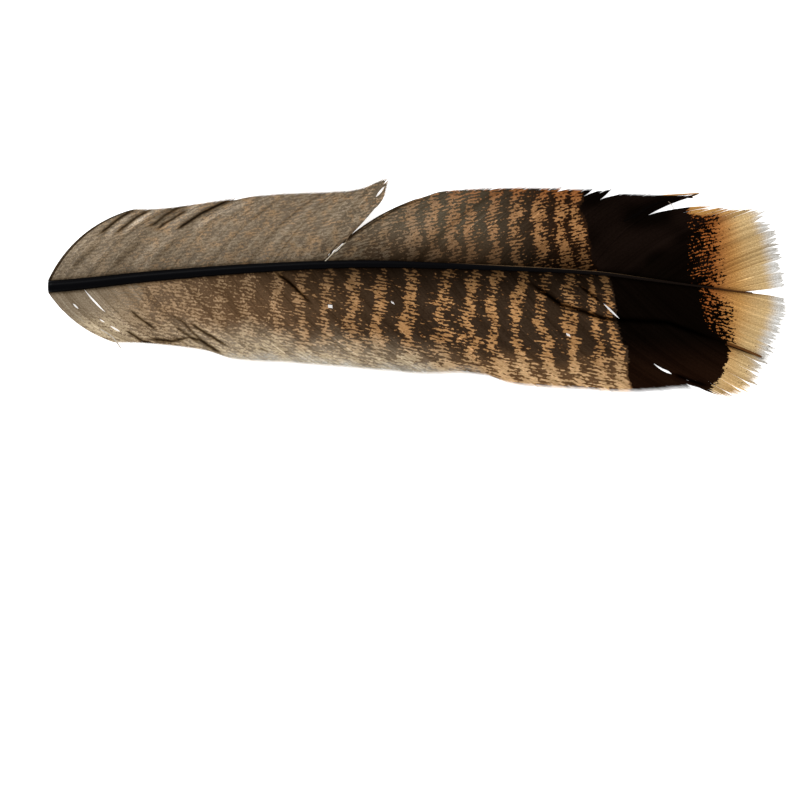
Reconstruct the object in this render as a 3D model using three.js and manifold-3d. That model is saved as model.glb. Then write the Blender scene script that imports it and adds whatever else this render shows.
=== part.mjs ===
// A barred turkey tail feather, cut off at the base of its vanes and lying on a table, upper side up.
// Millimetres. +X runs from the cut end to the tip, +Y towards the narrow outer vane, +Z up.
import * as THREE from "three";
import { mergeVertices } from "three/addons/utils/BufferGeometryUtils.js";
import Module from "manifold-3d";

const wasm = await Module();
wasm.setup();

// Driving dimensions of the shaft
const SHAFT_LENGTH = 268.5;
const SHAFT_WIDTH = 4.7; // at the cut end
const SHAFT_TIP_WIDTH = 0.5;
const SHAFT_SIDES = 12;
const SHAFT_STATIONS = 30;
const END_ROUNDING = 0.8;

// The flat length that the shaft rests on, the height of its axis there and at its tip, and its arch
const REST_LENGTH = 26;
const REST_AXIS = 2.2;
const TIP_AXIS = 0.5;
const ARCH = 6.4;

// The shaft's sideways curve, as points [x, y]
const SHAFT_LINE = [
  [0, 0],
  [39, 3.8],
  [78, 6.8],
  [118, 8.4],
  [154, 7.6],
  [192, 6.1],
  [212, 4.8],
  [230, 2.5],
  [250, 0],
  [269, -2.3],
];

// Gap between the shaft's sides and the roots of the vanes
const ROOT_GAP = 0.3;

// Each vane is made of lobes, and each lobe of locks of barbs. tipWidth is the share of a lock's width
// left at its tip. A lobe's keys are barbs that its locks are spaced between:
// [root x on the shaft, tip x, tip y, bend in degrees].
const OUTER_VANE = {
  side: 1,
  width: 31,
  lobes: [
    {
      locks: 13,
      tipWidth: 0.9,
      keys: [
        [0.8, 33.7, 29.7, 25],
        [13, 46, 30.2, 19],
        [39.5, 70, 33.6, 14],
        [57, 88, 35.6, 13],
        [77.5, 107, 36.4, 12],
        [96.5, 119.5, 37.6, 10],
        [103.5, 129.3, 41.4, 2],
        [107, 129, 35.2, -5],
      ],
    },
    {
      locks: 12,
      tipWidth: 0.85,
      keys: [
        [105.3, 149.7, 36.2, 16],
        [115.5, 157.5, 37.1, 15],
        [134.5, 170, 37.8, 13],
        [153.5, 188, 38, 13],
        [172.5, 206.5, 37.2, 13],
        [191.5, 226, 35.6, 13],
        [206, 247.8, 34.9, 21],
      ],
    },
    {
      locks: 10,
      tipWidth: 0.55,
      keys: [
        [203.5, 248.5, 30.8, 24],
        [218, 254, 30, 13],
        [229.5, 262, 29.6, 12],
        [241, 271, 29, 9],
        [249, 276.3, 23, 7],
        [256, 278, 15.5, 5],
        [262, 279.8, 7, 3],
        [266, 281.2, 0.3, 0],
      ],
    },
  ],
};

const INNER_VANE = {
  side: -1,
  width: 43,
  lobes: [
    {
      locks: 21,
      tipWidth: 0.9,
      keys: [
        [0.8, 26.3, -21.3, 18],
        [13, 40, -21.8, 14],
        [32, 60, -24.3, 13],
        [42, 73, -28, 13],
        [58.5, 93, -29.2, 12],
        [87, 131, -32.4, 12],
        [99.5, 144, -33.4, 12],
        [112, 157, -33.2, 12],
        [123, 168, -34, 12],
        [134.5, 180, -37.6, 12],
        [157, 206.5, -39.4, 12],
        [168, 218, -40.2, 12],
        [180, 229.5, -40.1, 12],
        [189, 241, -38.9, 12],
        [196, 249.5, -38.9, 12],
      ],
    },
    {
      locks: 14,
      tipWidth: 0.55,
      keys: [
        [192, 254.5, -41.2, 10],
        [203, 259.5, -42, 11],
        [211, 264, -41.2, 11],
        [219, 268, -38.6, 10],
        [229, 272.6, -32.5, 9],
        [241, 276.4, -24, 8],
        [251, 280, -15, 6],
        [259, 281.4, -8.6, 3],
        [266, 281, -4.2, 0],
      ],
    },
  ],
};

// A lock's thickness at its edges and along its ridge, how much lower its far edge lies than its near
// edge, how far it reaches under the next lock, and the share of its thickness left at its tip
const LOCK_EDGE = 0.45;
const LOCK_RIDGE = 0.8;
const LOCK_TILT = 0.24;
const LOCK_OVERLAP = 0.22;
const LOCK_TIP_THICKNESS = 0.6;
const LOCK_STATIONS = [0, 0.16, 0.34, 0.52, 0.7, 0.86, 1];

// Edges that the fusing of the locks leaves shorter than this are drawn together
const SMALLEST_EDGE = 0.03;

// The lift of the margins in long waves, so that the vanes aren't a perfect arch
const WAVE_LENGTH = 74;
const WAVE_HEIGHT = 1.1;

// Lengths along a smooth curve through rows of numbers, at position u from 0 to the last row's index
function between(rows, u) {
  const i = Math.min(Math.floor(u), rows.length - 2);
  const t = u - i;
  const a = rows[Math.max(i - 1, 0)];
  const b = rows[i];
  const c = rows[i + 1];
  const d = rows[Math.min(i + 2, rows.length - 1)];
  return b.map((value, k) => {
    const first = (c[k] - a[k]) / 2;
    const last = (d[k] - b[k]) / 2;
    const rise = c[k] - value;
    const curved = t * (first + t * (3 * rise - 2 * first - last + t * (first + last - 2 * rise)));
    return value + curved;
  });
}

// The sideways place of the shaft's middle at a distance x from the cut end
function shaftY(x) {
  let i = 0;
  while (i < SHAFT_LINE.length - 2 && x > SHAFT_LINE[i + 1][0]) i += 1;
  const [x0] = SHAFT_LINE[i];
  const [x1] = SHAFT_LINE[i + 1];
  const t = THREE.MathUtils.clamp((x - x0) / (x1 - x0), 0, 1);
  const [, y] = between(SHAFT_LINE, i + t);
  return y;
}

// The shaft narrows evenly for most of its length, and ends as a fine point
function shaftWidth(x) {
  const t = THREE.MathUtils.clamp(x / SHAFT_LENGTH, 0, 1);
  return THREE.MathUtils.lerp(SHAFT_WIDTH, SHAFT_TIP_WIDTH, Math.pow(t, 1.05));
}

// From 0 where the shaft leaves the table to 1 at its tip
function alongArch(x) {
  return THREE.MathUtils.clamp((x - REST_LENGTH) / (SHAFT_LENGTH - REST_LENGTH), 0, 1);
}

function axisHeight(x) {
  const t = alongArch(x);
  return THREE.MathUtils.lerp(REST_AXIS, TIP_AXIS, t) + ARCH * Math.pow(Math.sin(Math.PI * t), 1.5);
}

function shaftHalfHeight(x) {
  return THREE.MathUtils.lerp(REST_AXIS, SHAFT_TIP_WIDTH / 2, alongArch(x));
}

// The underside of a vane over the table at a point in plan
function vaneHeight(vane, x, y) {
  const out = Math.min(Math.abs(y - shaftY(x)) / vane.width, 1);
  const wave = 0.5 - 0.5 * Math.cos((2 * Math.PI * x) / WAVE_LENGTH);
  return (axisHeight(x) - 0.3) * (1 - out * out) + WAVE_HEIGHT * wave * out * out * (1 - out * 0.4);
}

// A barb in plan: it leaves the shaft steeply and bends towards the tip of the feather
function barb(vane, key) {
  const [rootX, tipX, tipY, bend] = key;
  const root = new THREE.Vector2(rootX, shaftY(rootX));
  root.y += vane.side * (shaftWidth(rootX) / 2 + ROOT_GAP);
  const tip = new THREE.Vector2(tipX, tipY);
  const chord = tip.clone().sub(root);
  const turn = vane.side * THREE.MathUtils.degToRad(bend);
  const origin = new THREE.Vector2();
  const handle = chord.clone().multiplyScalar(0.36);
  const leaving = handle.clone().rotateAround(origin, turn).add(root);
  const arriving = handle.clone().rotateAround(origin, -turn).multiplyScalar(-1).add(tip);
  return new THREE.CubicBezierCurve(root, leaving, arriving, tip);
}

// A closed solid from rings with the same number of points, each ring turning the same way
function solidFromRings(rings) {
  const count = rings[0].length;
  const positions = rings.flat().flatMap((p) => [p.x, p.y, p.z]);
  const index = [];
  for (let r = 0; r < rings.length - 1; r += 1) {
    for (let k = 0; k < count; k += 1) {
      const a = r * count + k;
      const b = r * count + ((k + 1) % count);
      index.push(a, a + count, b, b, a + count, b + count);
    }
  }
  const lastRing = (rings.length - 1) * count;
  for (let k = 1; k < count - 1; k += 1) {
    index.push(0, k, k + 1);
    index.push(lastRing, lastRing + k + 1, lastRing + k);
  }
  const geometry = new THREE.BufferGeometry();
  geometry.setAttribute("position", new THREE.Float32BufferAttribute(positions, 3));
  geometry.setIndex(index);
  return geometry;
}

function toManifold(geometry) {
  const triVerts = new Uint32Array(geometry.index.array);
  const vertProperties = geometry.attributes.position.array;
  const solid = new wasm.Manifold(new wasm.Mesh({ numProp: 3, vertProperties, triVerts }));
  if (solid.volume() > 0) return solid;
  for (let i = 0; i < triVerts.length; i += 3) triVerts.subarray(i + 1, i + 3).reverse();
  return new wasm.Manifold(new wasm.Mesh({ numProp: 3, vertProperties, triVerts }));
}

function toGeometry(solid) {
  const mesh = solid.getMesh();
  const geometry = new THREE.BufferGeometry();
  geometry.setAttribute("position", new THREE.Float32BufferAttribute(mesh.vertProperties, 3));
  geometry.setIndex(new THREE.BufferAttribute(mesh.triVerts, 1));
  return geometry;
}

// One lock: a strip between two barbs, with a ridge along its middle
function lock(vane, lobe, from, to) {
  const { keys, tipWidth } = lobe;
  const near = barb(vane, between(keys, from));
  const far = barb(vane, between(keys, Math.min(to, keys.length - 1)));
  const corners = [
    { across: 0, lift: LOCK_TILT / 2 },
    { across: 1, lift: -LOCK_TILT / 2 },
    { across: 1, lift: -LOCK_TILT / 2 + LOCK_EDGE },
    { across: 0.45, lift: LOCK_RIDGE },
    { across: 0, lift: LOCK_TILT / 2 + LOCK_EDGE },
  ];
  const rings = LOCK_STATIONS.map((t) => {
    const a = near.getPoint(t);
    const b = far.getPoint(t);
    const taper = THREE.MathUtils.smoothstep(t, 0.8, 1);
    const width = THREE.MathUtils.lerp(1, tipWidth, taper);
    const thickness = THREE.MathUtils.lerp(1, LOCK_TIP_THICKNESS, taper);
    return corners.map(({ across, lift }) => {
      const p = a.clone().lerp(b, 0.5 + (across - 0.5) * width);
      const z = vaneHeight(vane, p.x, p.y) + LOCK_TILT / 2 + lift * thickness;
      return new THREE.Vector3(p.x, p.y, z);
    });
  });
  return toManifold(solidFromRings(rings));
}

// Positions along a lobe's keys that part it into locks of even width, halfway between their roots
// and their tips
function lockPositions({ keys, locks }) {
  const samples = 400;
  const positions = Array.from({ length: samples + 1 }, (_, i) => (i * (keys.length - 1)) / samples);
  const lengths = [0];
  for (let i = 1; i <= samples; i += 1) {
    const [rootX, tipX, tipY] = between(keys, positions[i - 1]);
    const [nextRootX, nextTipX, nextTipY] = between(keys, positions[i]);
    const step = Math.abs(nextRootX - rootX) + Math.hypot(nextTipX - tipX, nextTipY - tipY);
    lengths.push(lengths[i - 1] + step);
  }
  return Array.from({ length: locks + 1 }, (_, n) => {
    const wanted = (n / locks) * lengths[samples];
    return positions[lengths.findIndex((length) => length >= wanted - 1e-6)];
  });
}

function vaneGeometry(vane) {
  const locks = vane.lobes.flatMap((lobe) => {
    const positions = lockPositions(lobe);
    return positions.slice(1).map((to, i) => {
      const from = positions[i];
      return lock(vane, lobe, from, to + LOCK_OVERLAP * (to - from));
    });
  });
  return toGeometry(wasm.Manifold.union(locks).asOriginal().simplify(SMALLEST_EDGE));
}

// The shaft: a tapering twelve-sided horn with a flat underside at the cut end
function shaftGeometry() {
  const stations = Array.from({ length: SHAFT_STATIONS + 1 }, (_, i) => {
    const x = END_ROUNDING + ((SHAFT_LENGTH - END_ROUNDING) * i) / SHAFT_STATIONS;
    return { x, size: 1 };
  });
  stations.unshift({ x: 0, size: 0.72 });
  const rings = stations.map(({ x, size }) => {
    const halfWidth = (shaftWidth(x) / 2) * size;
    const flat = Math.cos(Math.PI / SHAFT_SIDES);
    const halfHeight = (shaftHalfHeight(x) / flat) * size;
    return Array.from({ length: SHAFT_SIDES }, (_, k) => {
      const angle = (2 * Math.PI * (k + 0.5)) / SHAFT_SIDES - Math.PI / 2;
      const y = shaftY(x) + halfWidth * Math.cos(angle);
      const z = axisHeight(x) + halfHeight * Math.sin(angle);
      return new THREE.Vector3(x, y, z);
    });
  });
  return toGeometry(toManifold(solidFromRings(rings)));
}

const shaftMaterial = new THREE.MeshStandardMaterial({ color: 0x14100e, roughness: 0.35, metalness: 0 });
const vaneMaterial = new THREE.MeshStandardMaterial({ color: 0x6b5138, roughness: 0.75, metalness: 0 });

function named(name, geometry, material) {
  const mesh = new THREE.Mesh(mergeVertices(geometry, 1e-4), material);
  mesh.name = name;
  return mesh;
}

const lying = new THREE.Group();
lying.add(named("shaft", shaftGeometry(), shaftMaterial));
lying.add(named("outer_vane", vaneGeometry(OUTER_VANE), vaneMaterial));
lying.add(named("inner_vane", vaneGeometry(INNER_VANE), vaneMaterial));

// The origin is under the middle of the feather's box
const box = new THREE.Box3().setFromObject(lying);
const middle = box.getCenter(new THREE.Vector3());
lying.position.set(-middle.x, -middle.y, -box.min.z);

const feather = new THREE.Group();
feather.add(lying);
export default feather;
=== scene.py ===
import math

import bpy
import numpy as np
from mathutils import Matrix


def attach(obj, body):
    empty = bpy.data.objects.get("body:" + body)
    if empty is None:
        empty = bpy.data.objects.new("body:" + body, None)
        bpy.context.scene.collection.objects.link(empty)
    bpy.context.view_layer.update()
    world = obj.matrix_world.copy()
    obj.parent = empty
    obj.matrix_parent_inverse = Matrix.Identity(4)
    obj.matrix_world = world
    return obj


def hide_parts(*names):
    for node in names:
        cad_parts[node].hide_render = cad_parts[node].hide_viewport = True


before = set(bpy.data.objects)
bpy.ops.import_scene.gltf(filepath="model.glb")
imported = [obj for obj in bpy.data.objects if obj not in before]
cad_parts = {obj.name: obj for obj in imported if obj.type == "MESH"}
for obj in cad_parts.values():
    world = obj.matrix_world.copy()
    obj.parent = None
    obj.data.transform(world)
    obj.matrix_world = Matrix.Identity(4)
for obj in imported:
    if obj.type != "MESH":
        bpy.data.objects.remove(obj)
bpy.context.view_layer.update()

MM = 0.001

# The shaft, as in part.mjs: its length and widths, how far it lies flat, the height of its axis there
# and at its tip, its arch, and its sideways curve as points (x, y)
SHAFT_LENGTH = 268.5
SHAFT_WIDTH = 4.7
SHAFT_TIP_WIDTH = 0.5
REST_LENGTH = 26
REST_AXIS = 2.2
TIP_AXIS = 0.5
ARCH = 6.4
SHAFT_LINE = [
    (0, 0),
    (39, 3.8),
    (78, 6.8),
    (118, 8.4),
    (154, 7.6),
    (192, 6.1),
    (212, 4.8),
    (230, 2.5),
    (250, 0),
    (269, -2.3),
]

# The vanes, as in part.mjs, but the barbs of the tip lobes leave the shaft further back and reach a
# little further out, and the roots beside the outer vane's notch are up to 2 mm elsewhere. width is
# how far from the shaft a vane's arch comes down to the table. A lobe's keys are barbs that the others
# are spaced between: [root x on the shaft, tip x, tip y, bend in degrees]. pinch is how far its barbs
# draw together in clumps at their tips, ragged is the share of their length by which they end
# unevenly, clump is the range of how many barbs clump together, its upper end left out, and drop is
# how much lower the lobe lies.
OUTER_VANE = {
    "side": 1,
    "width": 31,
    "lobes": [
        {
            "pinch": 0.05,
            "ragged": 0.01,
            "clump": (6, 13),
            "dark_edge": True,
            "keys": [
                [0.8, 33.7, 29.7, 25],
                [13, 46, 30.2, 19],
                [39.5, 70, 33.6, 14],
                [57, 88, 35.6, 13],
                [77.5, 107, 36.4, 12],
                [96.5, 119.5, 37.6, 10],
                [103.5, 129.3, 41.4, 2],
                [105, 129, 35.2, -5],
            ],
        },
        {
            "pinch": 0.07,
            "ragged": 0.01,
            "clump": (6, 13),
            "dark_edge": True,
            "keys": [
                [105.6, 149.7, 36.2, 16],
                [115.5, 157.5, 37.1, 15],
                [134.5, 170, 37.8, 13],
                [153.5, 188, 38, 13],
                [172.5, 206.5, 37.2, 13],
                [191.5, 226, 35.6, 13],
                [206, 247.8, 34.9, 21],
            ],
        },
        {
            "pinch": 0.34,
            "ragged": 0.07,
            "clump": (4, 10),
            "drop": 0.3,
            "keys": [
                [200, 248.5, 30.8, 24],
                [208, 254, 30, 17],
                [217, 262, 29.6, 13],
                [225, 271, 29, 12],
                [235, 276.6, 23, 10],
                [245, 278.6, 15.5, 8],
                [255, 280.4, 7, 5],
                [264, 281.6, 0.3, 0],
            ],
        },
    ],
}

INNER_VANE = {
    "side": -1,
    "width": 43,
    "lobes": [
        {
            "pinch": 0.04,
            "ragged": 0.01,
            "clump": (6, 13),
            "keys": [
                [0.8, 26.3, -21.3, 18],
                [13, 40, -21.8, 14],
                [32, 60, -24.3, 13],
                [42, 73, -28, 13],
                [58.5, 93, -29.2, 12],
                [87, 131, -32.4, 12],
                [99.5, 144, -33.4, 12],
                [112, 157, -33.2, 12],
                [123, 168, -34, 12],
                [134.5, 180, -37.6, 12],
                [157, 206.5, -39.4, 12],
                [168, 218, -40.2, 12],
                [180, 229.5, -40.1, 12],
                [189, 241, -38.9, 12],
                [196, 249.5, -38.9, 12],
            ],
        },
        {
            "pinch": 0.26,
            "ragged": 0.06,
            "clump": (4, 10),
            "drop": 0.3,
            "keys": [
                [190.5, 254.5, -41.2, 12],
                [199, 260, -42, 11],
                [206, 264.5, -41.2, 11],
                [213, 268.5, -38.6, 11],
                [222, 273.2, -32.5, 11],
                [233, 277, -24, 10],
                [245, 280.4, -15, 8],
                [255, 281.8, -8.6, 5],
                [264, 281.4, -4.2, 0],
            ],
        },
    ],
}

# Barbs: the distance between them, the segments of each, its width as a share of the gap that it
# spans, and how far its root sinks into the shaft
BARB_PITCH = 0.6
BARB_SEGMENTS = 47
RINGS = BARB_SEGMENTS + 1
BARB_OVERLAP = 1.45
ROOT_SINK = 0.35

# A barb's height over the underside of the vane's solid, its ridge, its belly and its tilt. A clump's
# barbs rise across it by CLUMP_TILT for each CLUMP_SPAN barbs, each barb is up to BARB_JITTER higher or
# lower than its place, and no belly comes closer to the table than TABLE_GAP.
BARB_LIFT = 0.42
BARB_RIDGE = 0.1
BARB_BELLY = 0.25
BARB_TILT = 0.07
CLUMP_TILT = 0.3
CLUMP_SPAN = 8
BARB_JITTER = 0.015
TABLE_GAP = 0.03

# How much higher a stray barb lies, and how many barbs of a vane look pale for part of their length
STRAY_RISE = 0.45
PALE_BARBS = 10

# Painted shade along a lobe's dark edge: how dark its first barbs are, and how many they are
PAINTED_EDGE_SHADE = 0.22
EDGE_BARBS = 2

# The vanes' long waves, and how far under the shaft's axis their undersides begin, as in part.mjs
WAVE_LENGTH = 74
WAVE_HEIGHT = 1.1
VANE_DROP = 0.3

# The photo's scale in millimetres to a pixel, and its width, the cut end's middle and its own middle
# in pixels
PHOTO_SCALE = 0.38
PHOTO_WIDTH = 800
PHOTO_CUT = (46, 286.5)
PHOTO_MIDDLE = (400, 400)

# The studio's light makes a white floor this much brighter than the picture's white
LIGHT = 1.3

# How many random values each side of soft_noise's lattice has
LATTICE = 97


def srgb(r, g, b):
    """A colour that the feather has in the photo, from 0 to 255, as the linear colour that it takes
    in this light."""
    c = np.array([r, g, b]) / 255
    return np.where(c <= 0.04045, c / 12.92, ((c + 0.055) / 1.055) ** 2.4) / LIGHT


def smooth(low, high, x):
    """0 below low, 1 above high, and a smooth rise between them (or a fall, where high < low)."""
    t = np.clip((x - low) / (high - low), 0, 1)
    return t * t * (3 - 2 * t)


def mix(a, b, share):
    return a + (b - a) * share


def blend(a, b, share):
    """Mixes colours, each share being that of b."""
    return a + (b - a) * np.asarray(share)[..., None]


def plan(px, py):
    """A pixel of the photo as a point of the feather's plan."""
    return np.array([(px - PHOTO_CUT[0]) * PHOTO_SCALE, (PHOTO_CUT[1] - py) * PHOTO_SCALE])


def between(rows, u):
    """Points along a smooth curve through rows of numbers, at positions u from 0 to the last index."""
    rows = np.asarray(rows, float)
    u = np.clip(np.asarray(u, float), 0, len(rows) - 1)
    i = np.minimum(u.astype(int), len(rows) - 2)
    t = (u - i)[..., None]
    a = rows[np.maximum(i - 1, 0)]
    b = rows[i]
    c = rows[i + 1]
    d = rows[np.minimum(i + 2, len(rows) - 1)]
    first = (c - a) / 2
    last = (d - b) / 2
    rise = c - b
    return b + t * (first + t * (3 * rise - 2 * first - last + t * (first + last - 2 * rise)))


def shaft_y(x):
    line = np.array(SHAFT_LINE, float)
    i = np.clip(np.searchsorted(line[:, 0], x, side="left") - 1, 0, len(line) - 2)
    t = np.clip((x - line[i, 0]) / (line[i + 1, 0] - line[i, 0]), 0, 1)
    return between(line, i + t)[..., 1]


def shaft_width(x):
    return mix(SHAFT_WIDTH, SHAFT_TIP_WIDTH, np.clip(x / SHAFT_LENGTH, 0, 1) ** 1.05)


def along_arch(x):
    return np.clip((x - REST_LENGTH) / (SHAFT_LENGTH - REST_LENGTH), 0, 1)


def axis_height(x):
    t = along_arch(x)
    return mix(REST_AXIS, TIP_AXIS, t) + ARCH * np.sin(math.pi * t) ** 1.5


def shaft_half_height(x):
    return mix(REST_AXIS, SHAFT_TIP_WIDTH / 2, along_arch(x))


def vane_height(vane, x, y):
    """The underside of a vane's solid over the table."""
    out = np.minimum(np.abs(y - shaft_y(x)) / vane["width"], 1)
    wave = 0.5 - 0.5 * np.cos(2 * math.pi * x / WAVE_LENGTH)
    arched = (axis_height(x) - VANE_DROP) * (1 - out * out)
    return arched + WAVE_HEIGHT * wave * out * out * (1 - out * 0.4)


def soft_noise(x, y, cell, seed):
    """Smooth random values from -1 to 1 that change over about cell millimetres."""
    lattice = np.random.default_rng(seed).uniform(-1, 1, (LATTICE, LATTICE))
    u = x / cell
    v = y / cell
    i = np.floor(u).astype(int)
    j = np.floor(v).astype(int)
    fu = smooth(0, 1, u - i)
    fv = smooth(0, 1, v - j)
    i0, i1 = i % LATTICE, (i + 1) % LATTICE
    j0, j1 = j % LATTICE, (j + 1) % LATTICE
    low = mix(lattice[i0, j0], lattice[i1, j0], fu)
    high = mix(lattice[i0, j1], lattice[i1, j1], fu)
    return mix(low, high, fv)


# The cut end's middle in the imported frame
shaft_corners = np.array([tuple(v.co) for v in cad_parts["shaft"].data.vertices])
cut_ring = shaft_corners[shaft_corners[:, 0] < shaft_corners[:, 0].min() + 0.1 * MM]
CUT_PLACE = (cut_ring.min(axis=0) + cut_ring.max(axis=0)) / 2


def place(x, y, z):
    """Points of the feather's plan at heights z over the table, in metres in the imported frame."""
    return np.stack([x * MM + CUT_PLACE[0], y * MM + CUT_PLACE[1], z * MM], -1)


def add_mesh(
    name, points, faces, material, colours=(), floats=(), vectors=(), uv=None, smooth_faces=False
):
    """A mesh object with per-point attributes and, if given, a UV map for each face corner."""
    mesh = bpy.data.meshes.new(name)
    mesh.from_pydata(points.reshape(-1, 3).tolist(), [], faces)
    for key, values in colours:
        layer = mesh.attributes.new(key, "FLOAT_COLOR", "POINT")
        values = np.concatenate([values.reshape(-1, 3), np.ones((values.size // 3, 1))], 1)
        layer.data.foreach_set("color", values.ravel())
    for key, values in floats:
        mesh.attributes.new(key, "FLOAT", "POINT").data.foreach_set("value", values.ravel())
    for key, values in vectors:
        mesh.attributes.new(key, "FLOAT_VECTOR", "POINT").data.foreach_set("vector", values.ravel())
    if uv is not None:
        mesh.uv_layers.new(name="OFBake").data.foreach_set("uv", uv.ravel())
    mesh.polygons.foreach_set("use_smooth", np.full(len(faces), smooth_faces))
    mesh.materials.append(material)
    mesh.update()
    piece = bpy.data.objects.new(name, mesh)
    bpy.context.scene.collection.objects.link(piece)
    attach(piece, "root")
    return piece


# How many steps a lobe's keys are measured in, to space its barbs
POSITION_STEPS = 1200


def barb_positions(keys, pitch):
    """Positions along a lobe's keys that space its barbs evenly, halfway between roots and tips."""
    u = np.linspace(0, len(keys) - 1, POSITION_STEPS)
    rows = between(keys, u)
    steps = np.abs(np.diff(rows[:, 0])) + np.hypot(np.diff(rows[:, 1]), np.diff(rows[:, 2]))
    lengths = np.concatenate([[0], np.cumsum(steps)])
    count = round(lengths[-1] / 2 / pitch)
    return np.interp(np.linspace(0, lengths[-1], count), lengths, u)


def rotated(v, angle):
    c = np.cos(angle)
    s = np.sin(angle)
    return np.stack([v[..., 0] * c - v[..., 1] * s, v[..., 0] * s + v[..., 1] * c], -1)


# How far from both of its ends a barb's curve is bent, as a share of its length
BEND_REACH = 0.36


def barb_paths(vane, keys, t):
    """Plan points of barbs. keys has a row for each barb, and t its stations from root to tip."""
    root_x, tip_x, tip_y, bend = keys.T
    side = vane["side"]
    root_y = shaft_y(root_x) + side * (shaft_width(root_x) / 2 - ROOT_SINK)
    root = np.stack([root_x, root_y], -1)
    tip = np.stack([tip_x, tip_y], -1)
    turn = side * np.radians(bend)
    handle = BEND_REACH * (tip - root)
    leaving = root + rotated(handle, turn)
    arriving = tip - rotated(handle, -turn)
    t = t[..., None]
    return (
        (1 - t) ** 3 * root[:, None]
        + 3 * (1 - t) ** 2 * t * leaving[:, None]
        + 3 * (1 - t) * t**2 * arriving[:, None]
        + t**3 * tip[:, None]
    )


def clumps(count, sizes, rng):
    """For each barb, how far it is from its clump's middle in barbs, and its clump's number."""
    away = np.zeros(count)
    number = np.zeros(count, int)
    start = 0
    clump = 0
    while start < count:
        size = min(int(rng.integers(*sizes)), count - start)
        away[start : start + size] = np.arange(size) - (size - 1) / 2
        number[start : start + size] = clump
        start += size
        clump += 1
    return away, number


def normalised(v):
    return v / np.maximum(np.linalg.norm(v, axis=-1, keepdims=True), 1e-9)


# Places where the barbs part, in the photo's pixels: from, to, and the gap's width in millimetres
OUTER_PARTINGS = [
    ((237, 199), (236, 188), 1.3),
    ((330, 256), (345, 243), 1.5),
    ((374, 199), (385, 184), 1.4),
    ((500, 187), (486, 190), 0.8),
    ((578, 199), (594, 191), 1.2),
    ((592, 200), (621, 187), 2.6),
    ((548, 192), (575, 186), 1.3),
    ((752, 226), (772, 214), 2.0),
    ((765, 246), (780, 240), 1.2),
]

INNER_PARTINGS = [
    ((83, 289), (105, 313), 0.95),
    ((71, 303), (79, 309), 0.9),
    ((97, 318), (105, 323), 0.8),
    ((109, 325), (119, 332), 0.9),
    ((601, 302), (621, 319), 0.95),
    ((653, 363), (672, 374), 1.5),
    ((684, 382), (698, 388), 1.2),
    ((303, 296), (308, 300), 1.5),
    ((328, 304), (334, 309), 2.2),
    ((388, 301), (396, 305), 1.0),
    ((474, 302), (479, 305), 1.5),
    ((495, 306), (499, 308), 1.5),
    ((565, 332), (571, 338), 1.3),
]

# Stray barbs, in the photo's pixels: their points, colour and half width in millimetres
OUTER_STRAYS = [
    ([(669, 201), (672, 204), (675, 209)], (150, 135, 118), 0.12),
    ([(664, 195), (682, 194), (700, 193)], (186, 140, 86), 0.3),
    ([(655, 196), (675, 196), (694, 197)], (20, 12, 8), 0.35),
    ([(325, 262), (335, 252), (346, 243)], (206, 194, 172), 0.2),
    ([(346, 242), (352, 232), (362, 222)], (120, 100, 78), 0.15),
    ([(624, 221), (638, 213), (650, 205)], (9, 6, 5), 0.3),
    ([(634, 218), (646, 209), (660, 202)], (9, 6, 5), 0.25),
    ([(645, 208), (656, 203), (671, 199)], (9, 6, 5), 0.25),
    ([(680, 199), (690, 196), (700, 193)], (30, 20, 13), 0.25),
]
INNER_STRAYS = [
    ([(100, 329), (112, 337), (121, 349)], (196, 186, 170), 0.22),
    ([(60, 298), (70, 310), (84, 322)], (172, 158, 136), 0.15),
    ([(728, 343), (744, 349), (763, 357)], (92, 58, 28), 0.45),
    ([(726, 344), (740, 349), (755, 354)], (40, 22, 10), 0.4),
]


# Past this share of its barbs' length, a parting is open at the tips. A parting's push on the barbs
# beside it fades over PUSHED barbs.
OPEN_FROM = 0.96
PUSHED = 5


def part_barbs(path, partings):
    """Pushes barbs apart around each parting, and squeezes their neighbours."""
    count, stations = path.shape[:2]
    along = normalised(np.gradient(path, axis=1))
    across = np.stack([-along[..., 1], along[..., 0]], -1)
    # across points from each barb towards the next one
    towards_next = np.gradient(path, axis=0)
    across *= np.sign((across * towards_next).sum(-1).mean())
    shift = np.zeros((count, stations))
    t = np.linspace(0, 1, stations)
    for start, end, width in partings:
        ends = []
        for pixel in (start, end):
            away = np.linalg.norm(path - plan(*pixel), axis=-1)
            ends.append(np.unravel_index(away.argmin(), away.shape))
        middle = (ends[0][0] + ends[1][0]) / 2 + 0.25
        low, high = sorted((t[ends[0][1]], t[ends[1][1]]))
        low = min(low, 0.94)
        if high > OPEN_FROM:
            open_share = smooth(low, low + (1 - low) * 1.5, t) * 1.6
        else:
            reach = np.clip((t - low) / max(high - low, 0.01), 0, 1)
            open_share = np.sin(math.pi * reach) ** 0.7
        from_middle = np.arange(count) - middle
        push = np.sign(from_middle) * np.exp(-np.abs(from_middle) / PUSHED)
        shift += push[:, None] * open_share[None, :] * width / 2
    return path + across * shift[..., None]


def ribbon_faces(count, rings):
    """Quads of count closed strips, each with rings of four points, and their ends."""
    ring = np.arange(rings - 1)
    faces = []
    for k in range(4):
        a = ring * 4 + k
        b = ring * 4 + (k + 1) % 4
        faces.append(np.stack([a, b, b + 4, a + 4], -1))
    faces = np.stack(faces, 1).reshape(-1, 4)
    last = (rings - 1) * 4
    ends = np.array([[3, 2, 1, 0], [last, last + 1, last + 2, last + 3]])
    faces = np.concatenate([faces, ends])
    return (faces[None] + (np.arange(count) * rings * 4)[:, None, None]).reshape(-1, 4)


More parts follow.
